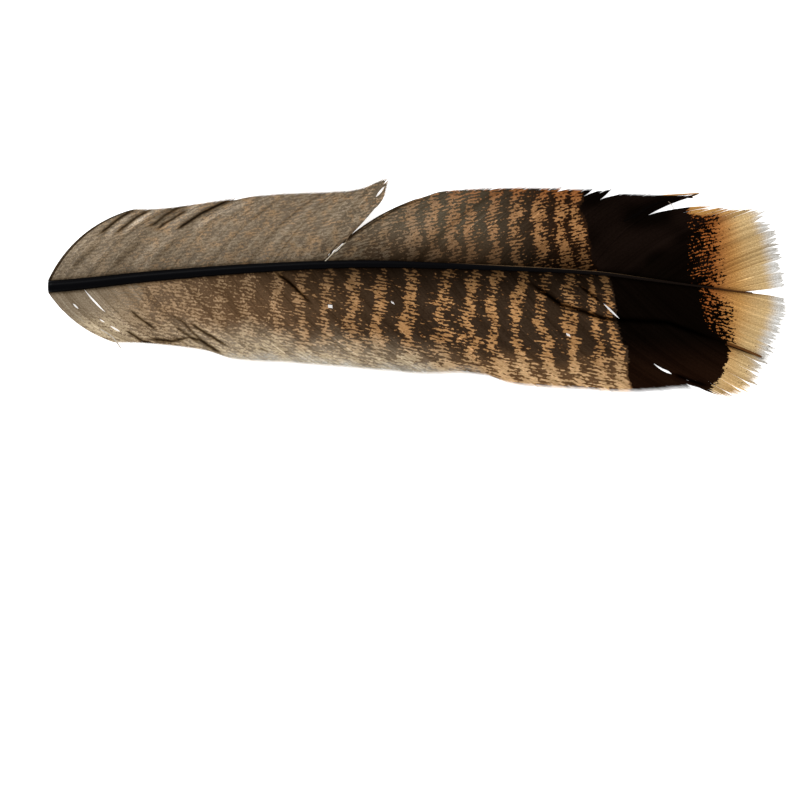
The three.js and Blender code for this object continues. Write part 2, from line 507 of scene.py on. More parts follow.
def ribbon_uv(count, rings):
    """Each strip has its own column, its top in the map's lower half and its underside in the upper."""
    v = np.linspace(0.01, 0.49, rings)
    across = [0.04, 0.5, 0.96, 0.5, 0.04]
    corners = []
    for k in range(4):
        half = 0 if k < 2 else 0.5
        u0 = np.full(rings - 1, across[k])
        u1 = np.full(rings - 1, across[k + 1])
        low = v[:-1] + half
        high = v[1:] + half
        around = ((u0, low), (u1, low), (u1, high), (u0, high))
        corners.append(np.stack([np.stack(corner, -1) for corner in around], 1))
    corners = np.stack(corners, 1).reshape(-1, 4, 2)
    ends = np.full((2, 4, 2), 0.5)
    ends[0, :, 1] = 0.01
    ends[1, :, 1] = 0.49
    corners = np.concatenate([corners, ends])
    corners = np.repeat(corners[None], count, axis=0)
    corners[..., 0] = (corners[..., 0] + np.arange(count)[:, None, None]) / count
    return corners.reshape(-1, 2)


# Colours of the feather's markings, as they look in the photo
# The outer vane's drab ground, drab marks and olive ground are partly its own grey and partly painted
# sheen
DRAB_AND_SHEEN = srgb(122, 108, 90)
DRAB_MARK_AND_SHEEN = srgb(148, 131, 108)
WARM_MARK = srgb(164, 135, 102)
SOFT_TAN = srgb(166, 126, 88)
PALE_DRAB = srgb(146, 130, 108)
PALE_MARK = srgb(200, 180, 148)
PALE_EDGE = srgb(200, 194, 180)
OLIVE_AND_SHEEN = srgb(88, 78, 62)
BROWN = srgb(98, 72, 48)
UMBER = srgb(56, 42, 30)
RUFOUS = srgb(158, 90, 42)
TAN = srgb(180, 134, 86)
PALE_TAN = srgb(204, 166, 120)
BAND_BLACK = srgb(9, 5, 3)
BAND_BROWN = srgb(30, 16, 8)
DEEP_BROWN = srgb(44, 28, 17)
BAND_SOOT = srgb(22, 14, 10)
OCHRE = srgb(150, 86, 40)
GOLD = srgb(190, 142, 80)
PALE_GOLD = srgb(201, 170, 120)
FRINGE_GREY = srgb(212, 211, 207)

# Bars: their middles along the inner vane at INNER_BAR_LINE and the outer vane at OUTER_BAR_LINE
INNER_BAR_LINE = -14
INNER_BARS = [
    56, 66, 76, 86.5, 96, 105.6, 115.5, 126, 137, 150,
    160.5, 169, 178.6, 188.5, 198.7, 208.3, 216.2,
]
OUTER_BAR_LINE = 24.5
OUTER_BARS = [100, 109.5, 119, 129, 138.7, 146.7, 154.7, 161.8, 169.9, 178.8, 187.5, 195.5, 202]

# How strongly marks show, as what is added to the grain that they are cut from: they cover half of
# the ground at 0, none of it at BARE and all of it at SOLID
BARE = -6
SOLID = 3.0


def bar_wave(x, places, half_width, softness):
    """1 in a bar's middle and 0 between bars."""
    nearest = np.abs(x[..., None] - np.array(places)).min(-1)
    return smooth(half_width + softness, half_width - softness, nearest)


def outer_pattern(x, y, to_tip):
    """The outer vane's ground, mark and band colours, the strength of its marks, and how far each
    point is past the start of the dark band."""
    margin = smooth(15, 3, to_tip)
    near_shaft = smooth(17, 1, y - shaft_y(x))
    bowed = x - 1.6 * ((y - OUTER_BAR_LINE) / 14) ** 2 * (y > OUTER_BAR_LINE)
    last_lean = smooth(186, 202, x) * (y - OUTER_BAR_LINE) * -0.2
    across_bars = bowed - last_lean + 1.3 * soft_noise(x, y, 6, 11) + 0.7 * soft_noise(x, y, 2.5, 12)
    bars = bar_wave(across_bars, OUTER_BARS, 2.3, 1.6)
    barred = smooth(98, 156, x)
    # The ground darkens towards the band, and the marks turn from grey to tan and rust. The grey of
    # this vane's ground and first marks is partly its own colour and partly painted sheen.
    ground = blend(DRAB_AND_SHEEN, OLIVE_AND_SHEEN, smooth(95, 160, x))
    ground = blend(ground, UMBER, smooth(155, 185, x) * 0.9)
    ground = blend(ground, BROWN, 0.7 * near_shaft * smooth(90, 130, x) * smooth(185, 160, x))
    ground = blend(ground, DEEP_BROWN, smooth(178, 198, x))
    warm = np.clip(0.25 + 0.9 * soft_noise(x, y, 2, 17), 0, 1) * smooth(5, 50, x)
    marks = blend(DRAB_MARK_AND_SHEEN, WARM_MARK, warm)
    marks = blend(marks, SOFT_TAN, smooth(115, 170, x))
    marks = blend(marks, TAN, smooth(165, 200, x))
    rusty = (0.1 + 0.7 * margin + 0.2 * smooth(175, 195, x)) * smooth(115, 190, x) * 0.75
    marks = blend(marks, RUFOUS, rusty)
    # Mottling gives way to bars
    mottle = 0.1 + 0.9 * soft_noise(x, y, 3.5, 13)
    level = mix(mottle, -2.6 + 3.1 * bars + 0.8 * soft_noise(x, y, 3, 16), barred)
    # Darker near the shaft: partly the vane's own colour and partly painted shade where it meets the
    # shaft
    dark = 1 - (0.28 + 0.54 * smooth(90, 135, x)) * near_shaft
    dark = dark - 0.14 * smooth(150, 190, x) * (1 - near_shaft)
    ground = ground * dark[..., None]
    marks = marks * dark[..., None]
    # The dark band beyond the last bar, and the tip
    past_band = across_bars - OUTER_BARS[-1] - 3
    band = smooth(-0.8, 0.8, past_band)
    black = blend(BAND_BLACK, BAND_SOOT, smooth(-0.3, 0.9, soft_noise(x, y, 9, 18)))
    marks = blend(marks, OCHRE, band)
    level = mix(level, BARE, band)
    speckled = x > 243.8 + 0.5 * soft_noise(x, y, 3, 14)
    level = np.where(speckled, mix(-2.2, 0.3, smooth(244, 258, x)), level)
    level = mix(level, SOLID + 1, smooth(254, 264, x + 2 * soft_noise(x, y, 4, 15)))
    top_edge = smooth(26.8, 28.6, y + 0.5 * soft_noise(x, y, 3, 19)) * smooth(243.5, 246, x)
    level = mix(level, SOLID, top_edge)
    marks = blend(marks, GOLD, top_edge)
    return ground, marks, black, level, past_band


def inner_pattern(x, y, to_tip):
    """The same for the inner vane."""
    margin = smooth(30, 7, to_tip + 5 * soft_noise(x, y, 7, 26) + 2 * soft_noise(x, y, 2.5, 27))
    margin *= 1 - 0.5 * smooth(22, 34, x) * smooth(64, 46, x)
    near_shaft = smooth(16, 1, shaft_y(x) - y)
    bow = 2.4 * ((y - INNER_BAR_LINE - 4) / 17) ** 2
    lean = smooth(203, 213, x)
    wobble = 1.6 * soft_noise(x, y, 7, 21) + 0.8 * soft_noise(x, y, 2.6, 22)
    across_bars = x - bow * (1 - lean) + 0.19 * (y + 16) * lean + wobble
    bars = bar_wave(across_bars, INNER_BARS, 2.2, 1.6)
    barred = smooth(42, 86, x)
    # A pale patch by the cut end stops along a barb
    by_shaft = smooth(-0.6, 0.6, x - 38.4 - 0.28 * (y - 3)) * smooth(-13, -8, y)
    past_patch = by_shaft + smooth(15, 45, x) * smooth(-8, -13, y)
    ground = blend(PALE_DRAB, BROWN, mix(smooth(15, 75, x), 0.9, past_patch * 0.6))
    ground = blend(ground, UMBER, smooth(55, 145, x))
    marks = blend(PALE_DRAB, WARM_MARK, smooth(15, 45, x))
    marks = blend(marks, TAN, smooth(55, 150, x))
    warm_margin = blend(PALE_MARK, PALE_TAN, smooth(135, 165, x))
    margin_ground = blend(PALE_DRAB, BROWN, smooth(110, 170, x)) * 1.1
    ground = blend(ground, margin_ground, margin * smooth(20, 60, x))
    marks = blend(marks, warm_margin, margin)
    # The very edge is pale and soft past the step in the margin
    edge = smooth(9, 2, to_tip + 3 * soft_noise(x, y, 5, 31))
    edge *= smooth(60, 72, x) * smooth(172, 155, x)
    ground = blend(ground, PALE_EDGE, 0.7 * edge)
    marks = blend(marks, PALE_EDGE, 0.5 * edge)
    # Mottling gives way to bars between the margin and the shaft
    mottle = 0.1 - 0.5 * smooth(30, 45, x) - 0.3 * smooth(48, 60, x)
    mottle = mottle + 1.3 * soft_noise(x, y, 4, 23) * smooth(20, 40, x)
    between_bars = mix(-2.4, -3.1, smooth(105, 140, x)) + 0.6 * soft_noise(x, y, 3, 29)
    in_bars = between_bars + mix(2.8, 3.6, smooth(105, 140, x)) * bars
    # Towards the band, the bars reach the margin
    to_band = smooth(155, 185, x)
    level = mix(mottle, in_bars, barred * (1 - margin * mix(0.7, 0.3, to_band)))
    patchy = 1.3 * smooth(-12, -20, y) * barred * soft_noise(x, y, 3, 28)
    level = level + mix(1.1, 1.5, to_band) * margin + patchy
    # The bars break up in one place
    broken = np.exp(-(((x - 153) / 10) ** 2) - ((y + 18) / 8) ** 2)
    level = mix(level, -0.5 + 1.6 * soft_noise(x, y, 2.5, 30), 0.85 * broken)
    # Darker near the shaft: partly the vane's own colour and partly painted shade where it meets the
    # shaft
    dark = 1 - (0.14 + 0.64 * smooth(40, 120, x)) * near_shaft
    ground = ground * dark[..., None]
    marks = marks * dark[..., None]
    past_band = across_bars - INNER_BARS[-1] - 2.9
    band = smooth(-0.8, 0.8, past_band)
    black = blend(BAND_BLACK, BAND_BROWN, smooth(-18, -36, y))
    marks = blend(marks, OCHRE, band)
    level = mix(level, BARE, band)
    # The tip's speckles narrow towards the fold, and end there
    above_fold = smooth(-23, -21, y)
    speckles_start = 247 - 0.28 * y + 0.09 * np.maximum(-13 - y, 0) ** 2
    speckles_end = 262.5 - 9 * smooth(-9, 0, y)
    through = (x - speckles_start) / np.maximum(speckles_end - speckles_start, 1.5)
    speckled = np.where(through > 0, mix(-1.9, 0.3, np.clip(through, 0, 1)), BARE)
    speckled = mix(speckled, SOLID + 1, smooth(0.75, 1.3, through + 0.15 * soft_noise(x, y, 4, 24)))
    plain_edge = x - 259.5 + 0.03 * (y + 24) ** 2 * (y < -24) + 0.4 * soft_noise(x, y, 2, 25)
    plain = mix(BARE, SOLID, smooth(-0.3, 0.6, plain_edge))
    level = np.maximum(level, mix(BARE, mix(plain, speckled, above_fold), band))
    marks = blend(marks, PALE_GOLD, smooth(-23, -30, y) * smooth(247, 252, x))
    return ground, marks, black, level, past_band


def tip_colours(marks, to_tip, x):
    """The tip is gold beyond its speckles, and fades to pale and then to the fringe's grey."""
    tip = smooth(251, 267, x)
    golden = blend(marks, GOLD, tip)
    paler = smooth(20, 7, to_tip) * smooth(252, 266, x)
    grey = smooth(8, 2, to_tip) * smooth(265, 274, x) * 0.9
    return blend(golden, blend(blend(golden, PALE_GOLD, paler), FRINGE_GREY, grey), tip)


# Painted shade: dark lines where barbs overlap or fold, in the photo's pixels: their points, half
# width in millimetres and darkness. A darkness below 0 is a painted highlight on a paler ridge.
PAINTED_CREASE_SHADE_LINES = [
    ([(94, 237), (104, 230), (109, 226), (117, 219), (128, 212), (139, 208)], 0.6, 0.95),
    ([(112, 236), (120, 229), (128, 223), (136, 217), (145, 212), (152, 209)], 0.55, 0.9),
    ([(128, 227), (138, 220), (147, 214), (156, 210), (162, 207)], 0.8, -0.6),
    ([(141, 229), (155, 223), (163, 216), (171, 211), (181, 206), (190, 203)], 0.55, 0.88),
    ([(154, 232), (163, 224), (172, 219), (181, 213), (189, 209)], 0.5, 0.92),
    ([(174, 231), (180, 227), (189, 221), (201, 213), (213, 207), (226, 201), (246, 196)], 0.65, 0.99),
    ([(160, 229), (170, 223), (181, 216), (193, 208), (204, 202)], 1.0, -0.7),
    ([(190, 230), (203, 222), (219, 214), (236, 206), (252, 200)], 1.0, -0.6),
    ([(104, 238), (112, 229), (121, 222), (131, 213)], 0.8, -0.7),
    ([(120, 236), (130, 227), (139, 220), (150, 213)], 0.7, -0.6),
    ([(200, 230), (212, 220), (224, 212)], 0.4, 0.35),
    ([(250, 222), (262, 212), (275, 203)], 0.4, 0.3),
    ([(70, 270), (84, 256), (100, 243)], 0.8, 0.4),
    ([(112, 268), (126, 254), (142, 240)], 0.8, 0.35),
    ([(88, 268), (102, 254), (116, 243)], 0.9, -0.3),
    ([(148, 266), (162, 252), (178, 238)], 0.7, 0.3),
    ([(131, 266), (146, 251), (160, 240)], 0.9, -0.25),
    ([(128, 308), (138, 317), (145, 322), (159, 332)], 0.5, 0.9),
    ([(125, 330), (133, 335), (142, 341), (157, 344)], 0.5, 0.92),
    ([(143, 338), (160, 340), (172, 341), (180, 339), (192, 337)], 0.6, 0.92),
    ([(186, 337), (200, 340), (210, 346), (225, 356)], 0.5, 0.8),
    ([(167, 313), (182, 321), (192, 332), (208, 346), (224, 356)], 0.5, 0.75),
    ([(187, 321), (202, 331), (214, 338), (232, 349)], 0.55, 0.9),
    ([(174, 326), (186, 334), (201, 344)], 0.5, 0.7),
    ([(196, 322), (212, 333), (226, 342)], 0.6, -0.3),
    ([(258, 347), (270, 353)], 0.35, 0.6),
    ([(273, 271), (290, 283), (315, 307)], 0.6, 0.99),
    ([(520, 277), (540, 290), (560, 304), (606, 319), (667, 322), (698, 333), (729, 344)], 0.85, 0.99),
    ([(577, 284), (590, 294), (601, 302)], 0.5, 0.98),
    ([(455, 367), (472, 372), (488, 377), (505, 384), (522, 387)], 0.45, 0.75),
    ([(690, 392), (705, 394), (722, 394)], 0.4, 0.6),
    ([(672, 373), (690, 380), (712, 387)], 0.8, 0.9),
    ([(346, 243), (352, 237), (375, 222), (400, 207), (440, 192)], 0.4, 0.8),
]

# How far a dark line reaches, next to its half width
CREASE_REACH = 1.2

# The fold across the inner vane, where the tip's barbs lie over those before them
FOLD = [(520, 277), (540, 290), (560, 304), (606, 319), (667, 322), (698, 333), (729, 344), (790, 366)]
# How much lower its barbs lie beyond the fold
FOLD_DROP = 0.4


def beyond_fold(x, y):
    """1 past the fold, towards the inner margin, and 0 before it."""
    line = np.array([plan(*pixel) for pixel in FOLD])
    below = np.interp(x, line[:, 0], line[:, 1]) - y
    return smooth(-0.5, 1.5, below) * smooth(line[0, 0], line[2, 0], x)


def taper(share):
    """0 at a line's ends and 1 over most of its length."""
    return smooth(0, 0.22, share) * smooth(1, 0.78, share)


def crease_shade(x, y):
    """1 away from the painted crease lines, less on their painted shade and more on their painted
    highlights.
    """
    shade = np.ones_like(x)
    for pixels, width, darkness in PAINTED_CREASE_SHADE_LINES:
        points = [plan(*pixel) for pixel in pixels]
        nearest = np.full_like(x, 1e3)
        fading = np.zeros_like(x)
        for number, (a, b) in enumerate(zip(points, points[1:])):
            step = b - a
            share = ((x - a[0]) * step[0] + (y - a[1]) * step[1]) / (step @ step)
            share = np.clip(share, 0, 1)
            away = np.hypot(x - a[0] - share * step[0], y - a[1] - share * step[1])
            closer = away < nearest
            nearest = np.where(closer, away, nearest)
            fading = np.where(closer, taper((number + share) / (len(points) - 1)), fading)
        reach = width * CREASE_REACH * (0.4 + 0.6 * fading)
        shade *= 1 - darkness * fading**0.6 * np.exp(-((nearest / reach) ** 2))
    return shade


# For each side of the shaft, how the dashes slant in degrees, and the scale along them, which draws
# them out below 1. The mottling before MOTTLE_TO and the tip's speckles past SPECKLES_FROM are rounder.
# VANES_APART keeps the two vanes' dashes from being alike.
DASH_TILT = {1: 14, -1: -12}
DASH_STRETCH = {1: 0.7, -1: 0.52}
MOTTLE_TO = 90
SPECKLES_FROM = 228
ROUND_STRETCH = 0.95
VANES_APART = 30.0


def weave(side, x, y):
    """Coordinates along and across the dashes that the markings are made of."""
    angle = math.radians(DASH_TILT[side])
    stretch = DASH_STRETCH[side]
    along = (x * math.cos(angle) + y * math.sin(angle)) * stretch
    rounded = np.maximum(x - SPECKLES_FROM, 0) - np.maximum(MOTTLE_TO - x, 0)
    along = along + rounded * (ROUND_STRETCH - stretch)
    across = -x * math.sin(angle) + y * math.cos(angle)
    return np.stack([along, across, np.full_like(x, VANES_APART * side)], -1)


def perpendicular_gap(path):
    """The distance from each barb to its neighbours, square to the barb."""
    along = normalised(np.gradient(path, axis=1))
    step = np.gradient(path, axis=0)
    return np.abs(along[..., 0] * step[..., 1] - along[..., 1] * step[..., 0])


def lobe_barbs(vane, lobe, rng):
    """A lobe's barbs: their plan points, the gaps that they span, their stations, how far each is
    from its clump's middle, how much lower it lies, and its shade."""
    keys = between(lobe["keys"], barb_positions(lobe["keys"], BARB_PITCH))
    count = len(keys)
    away, number = clumps(count, lobe["clump"], rng)
    clump_length = rng.uniform(0, 1, number.max() + 1)[number]
    short = lobe["ragged"] * (0.55 * clump_length + 0.45 * rng.uniform(0, 1, count))
    t = np.linspace(0, 1, RINGS)[None] * (1 + 0.45 * lobe["ragged"] - short)[:, None]
    path = barb_paths(vane, keys, t)
    # Tips draw together in clumps
    spacing = np.gradient(path, axis=0)
    path -= spacing * (away[:, None] * lobe["pinch"] * smooth(0.6, 1, t))[..., None]
    drop = np.full(count, lobe.get("drop", 0.0))
    edge = np.ones(count)
    # Painted shade darkens the first barbs along a lobe's dark edge
    if "dark_edge" in lobe:
        edge[:EDGE_BARBS] = PAINTED_EDGE_SHADE
    return path, perpendicular_gap(path), t, away, drop, edge


def stray_barb(pixels, width):
    """The same for one stray barb, through pixels of the photo."""
    points = np.array([plan(*pixel) for pixel in pixels])
    path = between(points, np.linspace(0, len(points) - 1, RINGS))[None]
    gap = np.full((1, RINGS), width * 2 / BARB_OVERLAP)
    return path, gap, np.linspace(0, 1, RINGS)[None], [0], [-STRAY_RISE], [1]


def joined(blocks):
    """Barbs of several blocks as one block."""
    return [np.concatenate(column) for column in zip(*blocks)]


def ribbon_corners(vane, path, gaps, t, away, drop, rng):
    """Each barb's four corners at each station: two sides, a ridge on top and a belly underneath."""
    side = vane["side"]
    along = normalised(np.gradient(path, axis=1))
    # normal points in plan towards the next barb
    normal = np.stack([-along[..., 1], along[..., 0]], -1) * -side
    half = np.clip(gaps * BARB_OVERLAP / 2, 0.1, 0.75)
    station = np.linspace(0, 1, RINGS)[None]
    half = half * (0.25 + 0.75 * smooth(1.0, 0.93, station)) * (0.8 + 0.2 * smooth(0, 0.03, station))
    tilt = CLUMP_TILT * away / CLUMP_SPAN
    x = path[..., 0]
    y = path[..., 1]
    z = vane_height(vane, x, y) + BARB_LIFT + tilt[:, None] * smooth(0.15, 0.9, t)
    if side < 0:
        z -= FOLD_DROP * beyond_fold(x, y)
    z += rng.uniform(-BARB_JITTER, BARB_JITTER, len(path))[:, None] - drop[:, None]
    # No barb sinks into the table
    z = np.maximum(z, BARB_BELLY + TABLE_GAP)
    thin = 1 - 0.6 * smooth(0.9, 1, station)
    offsets = [(-1, BARB_TILT), (0, BARB_RIDGE), (1, -BARB_TILT), (0, -BARB_BELLY)]
    corners_x = np.stack([x + normal[..., 0] * half * k for k, _ in offsets], -1)
    corners_y = np.stack([y + normal[..., 1] * half * k for k, _ in offsets], -1)
    corners_z = np.stack([z + lift * thin for _, lift in offsets], -1)
    return corners_x, corners_y, corners_z


def length_to_tip(path):
    """How far each corner of each barb is from the barb's tip."""
    segment = np.linalg.norm(np.diff(path, axis=1), axis=-1)
    from_root = np.concatenate([np.zeros((len(path), 1)), np.cumsum(segment, 1)], 1)
    to_tip = segment.sum(1)[:, None] - from_root
    return np.repeat(to_tip[..., None], 4, -1)


def barb_shade(x, y, t, edge, rng):
    """How bright each corner looks next to its own colour: painted shade and highlights along creases
    and dark edges, the shaft's painted shadow, and each barb's own tone.
    """
    count = len(x)
    shade = crease_shade(x, y) * edge[:, None, None]
    # Painted shadow of the shaft: it is darker along the shaft
    from_shaft = np.abs(y - shaft_y(x)) - shaft_width(x) / 2
    shade *= 1 - 0.5 * np.exp(-((from_shaft / 0.9) ** 2))
    # Single barbs and tufts of four differ in tone
    knots = np.arange(0, count + 4, 4)
    tufts = np.interp(np.arange(count), knots, rng.standard_normal(len(knots)))
    tone = 1 + 0.1 * rng.standard_normal(count) + 0.1 * tufts
    shade = shade * np.clip(tone, 0.7, 1.3)[:, None, None]
    # A few barbs look pale for part of their length
    for barb in rng.integers(0, count, PALE_BARBS):
        start = rng.uniform(0.2, 0.7)
        pale = smooth(start, start + 0.08, t[barb]) * smooth(start + 0.3, start + 0.2, t[barb])
        shade[barb] *= 1 + 0.45 * pale[:, None]
    return shade


def vane_piece(name, vane, partings, strays, pattern, material, seed):
    """A vane's barbs, each a thin closed strip with a low ridge along its upper side."""
    rng = np.random.default_rng(seed)
    lobes = joined([lobe_barbs(vane, lobe, rng) for lobe in vane["lobes"]])
    strays_from = len(lobes[0])
    lobes[0] = part_barbs(lobes[0], partings)
    loose = [stray_barb(pixels, width) for pixels, _, width in strays]
    path, gaps, t, away, drop, edge = joined([lobes, *loose])
    count = len(path)
    x, y, z = ribbon_corners(vane, path, gaps, t, away, drop, rng)
    to_tip = length_to_tip(path)
    ground, marks, black, level, past_band = pattern(x, y, to_tip)
    marks = tip_colours(marks, to_tip, x)
    shade = barb_shade(x, y, t, edge, rng)
    for barb, (_, colour, _) in enumerate(strays, strays_from):
        ground[barb] = marks[barb] = black[barb] = srgb(*colour)
        shade[barb] = 1
    phase = rng.uniform(-0.25, 0.25, count)[:, None, None]
    return add_mesh(
        name,
        place(x, y, z),
        ribbon_faces(count, RINGS).tolist(),
        material,
        colours=[("ground", ground), ("marks", marks), ("band", black)],
        floats=[("level", level), ("past_band", past_band), ("shade", shade)],
        vectors=[("weave", weave(vane["side"], x + phase, y))],
        uv=ribbon_uv(count, RINGS),
    )


class Nodes:
    """Short calls for building a material's nodes."""

    def __init__(self, name):
        self.material = bpy.data.materials.new(name)
        self.material.use_nodes = True
        self.tree = self.material.node_tree
        self.shader = self.tree.nodes["Principled BSDF"]

    def add(self, kind, inputs=(), **settings):
        node = self.tree.nodes.new(kind)
        for key, value in settings.items():
            setattr(node, key, value)
        for key, value in dict(inputs).items():
            if isinstance(value, bpy.types.NodeSocket):
                self.tree.links.new(value, node.inputs[key])
            else:
                node.inputs[key].default_value = value
        return node

    def math(self, operation, a, b=0.0, clamp=False):
        return self.add("ShaderNodeMath", {0: a, 1: b}, operation=operation, use_clamp=clamp).outputs[0]

    def centred(self, grain, strength):
        return self.math("MULTIPLY", self.math("SUBTRACT", grain.outputs["Fac"], 0.5), strength)

    def attribute(self, name, output):
        return self.add("ShaderNodeAttribute", attribute_name=name).outputs[output]

    def mix(self, share, a, b, blend_type="MIX"):
        node = self.add("ShaderNodeMix", data_type="RGBA", blend_type=blend_type)
        for socket, value in ((node.inputs[0], share), (node.inputs[6], a), (node.inputs[7], b)):
            if isinstance(value, bpy.types.NodeSocket):
                self.tree.links.new(value, socket)
            elif isinstance(value, float):
                socket.default_value = value
            else:
                socket.default_value = (*value, 1)
        return node.outputs[2]


# The scales and strengths of the grain's dashes, fine dashes and rungs, and of the flecks over all
DASH_SCALE = 0.95
DASH_STRENGTH = 9.0
FINE_SCALE = 1.6
FINE_STRENGTH = 6.0
RUNG_SCALE = 0.242
RUNG_STRENGTH = 2.2
FLECK_SCALE = 2.2
FLECK_STRENGTH = 1.5
FLECK_BASE = 0.27

# How sharply marks and the dark band end, and how jagged the band's edge is
MARK_EDGE = 1.6
BAND_EDGE = 4.0
BAND_JAGGED = 0.15

# The share of a mark's colour that is left in its rusty edge, and how strong that edge is
RUST_SHARE = (0.42, 0.27, 0.18)
RUST_STRENGTH = 0.7

# Green and blue darken faster than red, which makes shade a little brown
SHADE_GREEN = 1.1
SHADE_BLUE = 1.25


def barb_material():
    """Marks of tan on a darker ground, cut from a grain of dashes that lie across the bars."""
    m = Nodes("vane_barbs_look")
    threads = m.attribute("weave", "Vector")
    dashes = m.add(
        "ShaderNodeTexNoise",
        {"Vector": threads, "Scale": DASH_SCALE, "Detail": 1.0, "Distortion": 0.5},
    )
    fine = m.add(
        "ShaderNodeTexNoise",
        {"Vector": threads, "Scale": FINE_SCALE, "Detail": 1.0, "Distortion": 0.4},
    )
    long_grain = m.centred(dashes, DASH_STRENGTH)
    fine_grain = m.centred(fine, FINE_STRENGTH)
    rungs = m.add(
        "ShaderNodeTexWave",
        {"Vector": threads, "Scale": RUNG_SCALE, "Distortion": 5.0, "Detail": 1.0, "Detail Scale": 1.2},
        bands_direction="Y",
    )
    ladder = m.centred(rungs, RUNG_STRENGTH)
    grain = m.math("ADD", m.math("ADD", long_grain, fine_grain), ladder)
    above = m.math("ADD", grain, m.attribute("level", "Fac"))
    mask = m.math("ADD", m.math("MULTIPLY", above, MARK_EDGE), 0.5, clamp=True)
    jagged = m.math("ADD", m.attribute("past_band", "Fac"), m.math("MULTIPLY", grain, BAND_JAGGED))
    in_band = m.math("ADD", m.math("MULTIPLY", jagged, BAND_EDGE), 0.5, clamp=True)
    ground = m.mix(in_band, m.attribute("ground", "Color"), m.attribute("band", "Color"))
    # Each mark has a rusty edge
    marks = m.attribute("marks", "Color")
    rust = m.mix(1.0, marks, RUST_SHARE, blend_type="MULTIPLY")
    around = m.math("ADD", m.math("MULTIPLY", above, MARK_EDGE), 1.0, clamp=True)
    edged = m.mix(m.math("MULTIPLY", around, RUST_STRENGTH), ground, rust)
    colour = m.mix(mask, edged, marks)
    flecks = m.add(
        "ShaderNodeTexNoise",
        {"Vector": threads, "Scale": FLECK_SCALE, "Detail": 2.0, "Roughness": 0.6},
    )
    speck = m.math("ADD", m.math("MULTIPLY", flecks.outputs["Fac"], FLECK_STRENGTH), FLECK_BASE)
    # The shade attribute brings in painted shade, painted highlights and the shaft's painted shadow,
    # with each barb's own tone
    shaded = m.math("MULTIPLY", m.attribute("shade", "Fac"), speck)
    green = m.math("POWER", shaded, SHADE_GREEN)
    blue = m.math("POWER", shaded, SHADE_BLUE)
    tone = m.add("ShaderNodeCombineColor", {0: shaded, 1: green, 2: blue}).outputs[0]
    final = m.mix(1.0, colour, tone, blend_type="MULTIPLY")
    m.tree.links.new(final, m.shader.inputs["Base Color"])
    m.shader.inputs["Roughness"].default_value = 0.75
    m.shader.inputs["Specular IOR Level"].default_value = 0.0
    return m.material


# The shaft's mesh: its rings and sides, how far its cut is set back, the cut's rounded edge with the
# sizes of its first rings, how deep the pith's middle lies, how far the tip's point reaches past the
# last ring, and the groove underneath as shares of the shaft's half height and half width
SHAFT_RINGS = 150
SHAFT_SIDES = 28
CUT_BACK = 0.7
CUT_EDGE = 0.25
CUT_SIZES = [0.62, 0.9]
PITH_HOLLOW = 0.5
TIP_POINT = 0.6
GROOVE_DEPTH = 0.3
GROOVE_WIDTH = 0.28

HORN_BLACK = srgb(3, 3, 5)
HORN_BROWN = srgb(20, 12, 7)
HORN_TIP = srgb(78, 46, 22)
# The paler colour of the shaft's edge towards the outer vane is a painted highlight
HORN_RIM_HIGHLIGHT = srgb(140, 112, 82)
HORN_BELOW = srgb(96, 84, 70)
CUT_RIM = srgb(150, 138, 118)
PITH = srgb(170, 155, 130)


def shaft_material():
    m = Nodes("shaft_horn_look")
    m.tree.links.new(m.attribute("horn", "Color"), m.shader.inputs["Base Color"])
    m.shader.inputs["Roughness"].default_value = 0.35
    m.shader.inputs["Specular IOR Level"].default_value = 0.03
    return m.material


